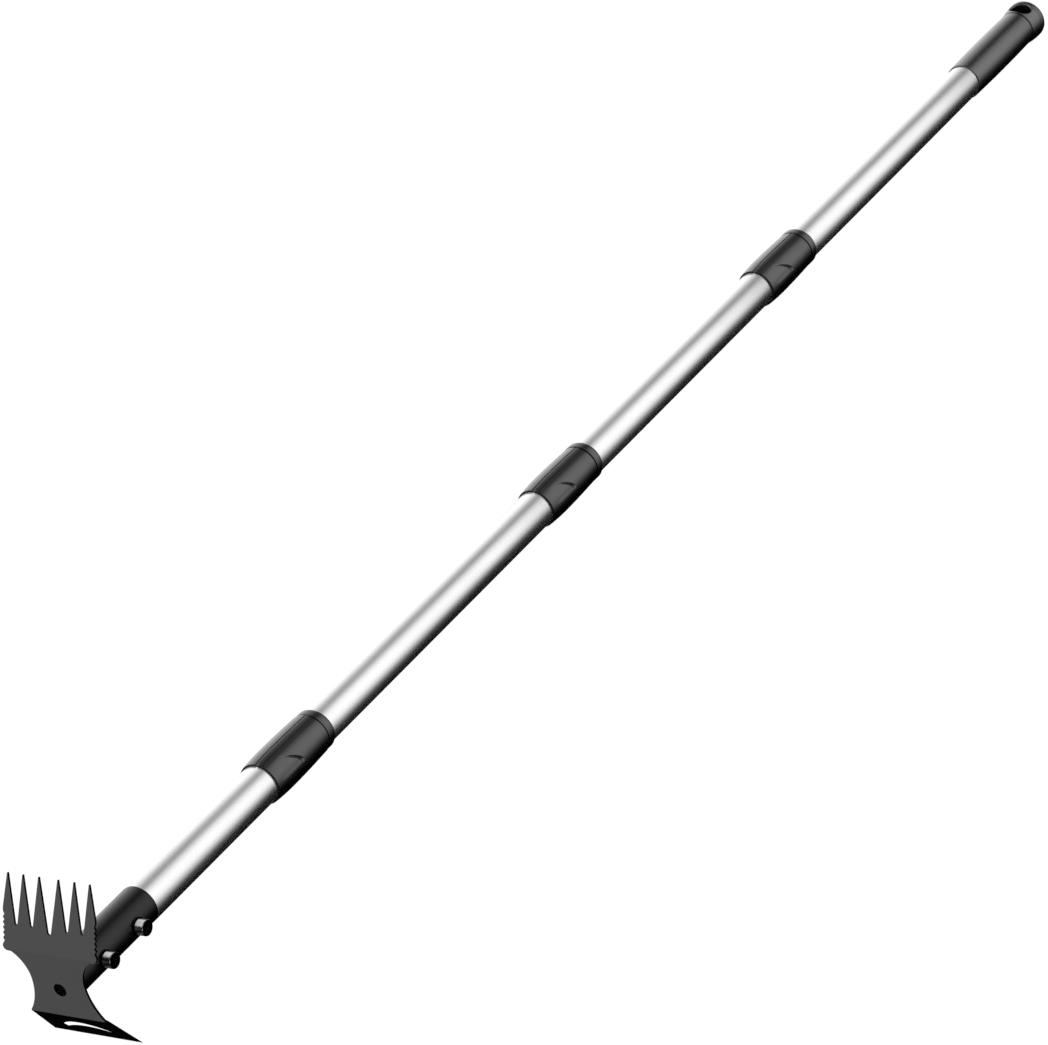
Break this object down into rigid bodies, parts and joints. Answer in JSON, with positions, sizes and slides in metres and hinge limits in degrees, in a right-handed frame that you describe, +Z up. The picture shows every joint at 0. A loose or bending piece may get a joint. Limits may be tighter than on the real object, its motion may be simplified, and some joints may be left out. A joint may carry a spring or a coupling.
{
  "type": "stand up weeder",
  "caption": "Long-handled stand up weeder with a toothed rake and slotted hoe blade bolted to a sectional screw-together metal pole with a plastic grip.",
  "frame": {"origin": "centre of the tool's footprint on the ground it lies on", "axes": "+X from the head towards the grip, +Z up with the rake's tines up, and the hoe's cutting edge and the end cap's rim on the ground"},
  "size_m": [1.6186, 0.0858, 0.1404],
  "materials": {
    "blade_steel": "matt powder coat, worn to a darker edge",
    "socket_paint": "satin black",
    "bare_steel": "as drawn",
    "screw_steel": "black oxide",
    "tube_metal": "bright satin",
    "collar_plastic": "semi-gloss charcoal",
    "thread_plastic": "matt",
    "washer_plastic": "matt",
    "grip_plastic": "semi-gloss charcoal"
  },
  "bodies": {
    "head_section": {"rake_hoe_blade": "blade_steel", "handle_socket": "socket_paint", "socket_weld": "socket_paint", "socket_spigot": "bare_steel", "clamp_bolt_lower": "screw_steel", "clamp_bolt_upper": "screw_steel", "saddle_washer_lower": "screw_steel", "saddle_washer_upper": "screw_steel", "lower_tube": "tube_metal", "collar_1": "collar_plastic", "thread_bush_1": "thread_plastic"},
    "washer_1": {"thread_washer_1": "washer_plastic"},
    "section_2": {"thread_plug_1": "collar_plastic", "tube_2": "tube_metal", "collar_2": "collar_plastic", "thread_bush_2": "thread_plastic"},
    "washer_2": {"thread_washer_2": "washer_plastic"},
    "section_3": {"thread_plug_2": "collar_plastic", "tube_3": "tube_metal", "collar_3": "collar_plastic", "thread_bush_3": "thread_plastic"},
    "washer_3": {"thread_washer_3": "washer_plastic"},
    "section_4": {"thread_plug_3": "collar_plastic", "upper_tube": "tube_metal", "grip_sleeve": "grip_plastic", "grip_end_cap": "grip_plastic"}
  },
  "joints": [
    {"name": "coupling_1_travel", "type": "slide", "parent": "head_section", "child": "washer_1", "axis": [0.9996, 0, -0.0266], "range_m": [0, 0.0241]},
    {"name": "coupling_1_turn", "type": "hinge", "parent": "washer_1", "child": "section_2", "pos_m": [-0.46538, 0, 0.05262], "axis": [0.9996, 0, -0.0266], "range_deg": [0, 2160]},
    {"name": "coupling_2_travel", "type": "slide", "parent": "section_2", "child": "washer_2", "axis": [0.9996, 0, -0.0266], "range_m": [0, 0.0241]},
    {"name": "coupling_2_turn", "type": "hinge", "parent": "washer_2", "child": "section_3", "pos_m": [-0.04623, 0, 0.04148], "axis": [0.9996, 0, -0.0266], "range_deg": [0, 2160]},
    {"name": "coupling_3_travel", "type": "slide", "parent": "section_3", "child": "washer_3", "axis": [0.9996, 0, -0.0266], "range_m": [0, 0.0241]},
    {"name": "coupling_3_turn", "type": "hinge", "parent": "washer_3", "child": "section_4", "pos_m": [0.33614, 0, 0.03132], "axis": [0.9996, 0, -0.0266], "range_deg": [0, 2160]}
  ],
  "couplings": [
    {"joint": "coupling_1_travel", "follows": "coupling_1_turn", "m_per_rad": 0.00063662},
    {"joint": "coupling_2_travel", "follows": "coupling_2_turn", "m_per_rad": 0.00063662},
    {"joint": "coupling_3_travel", "follows": "coupling_3_turn", "m_per_rad": 0.00063662}
  ]
}
